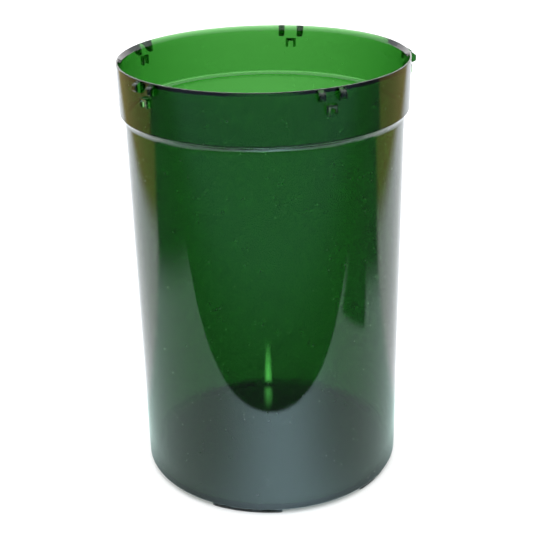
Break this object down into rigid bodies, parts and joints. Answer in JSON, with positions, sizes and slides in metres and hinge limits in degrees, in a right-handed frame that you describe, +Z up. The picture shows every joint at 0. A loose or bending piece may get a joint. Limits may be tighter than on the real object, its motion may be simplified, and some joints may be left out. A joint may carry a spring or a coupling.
{
  "type": "wasp trap catch pot",
  "caption": "Open-topped clear green pot of a wasp trap, with a wide collar, clip points around its rim for a trap top, and short feet under its base.",
  "frame": {"origin": "on the pot's axis, at the plane that its feet stand on", "axes": "+Z up along the pot's axis out of its mouth; +X through the middle of clip point 1, the others every 72 degrees towards +Y"},
  "size_m": [0.1338, 0.1332, 0.202],
  "materials": {
    "clear_green_plastic": "clear bottle-green injection-moulded plastic, glossy inside and out"
  },
  "bodies": {
    "root": {"base_pan": "clear_green_plastic", "pot_wall": "clear_green_plastic", "collar": "clear_green_plastic", "rim_band": "clear_green_plastic", "clip_1_left_guide": "clear_green_plastic", "clip_1_right_guide": "clear_green_plastic", "clip_1_catch": "clear_green_plastic", "clip_2_left_guide": "clear_green_plastic", "clip_2_right_guide": "clear_green_plastic", "clip_2_catch": "clear_green_plastic", "clip_3_left_guide": "clear_green_plastic", "clip_3_right_guide": "clear_green_plastic", "clip_3_catch": "clear_green_plastic", "clip_4_left_guide": "clear_green_plastic", "clip_4_right_guide": "clear_green_plastic", "clip_4_catch": "clear_green_plastic", "clip_5_left_guide": "clear_green_plastic", "clip_5_right_guide": "clear_green_plastic", "clip_5_catch": "clear_green_plastic", "foot_1": "clear_green_plastic", "foot_2": "clear_green_plastic", "foot_3": "clear_green_plastic", "foot_4": "clear_green_plastic", "foot_5": "clear_green_plastic"}
  },
  "joints": []
}
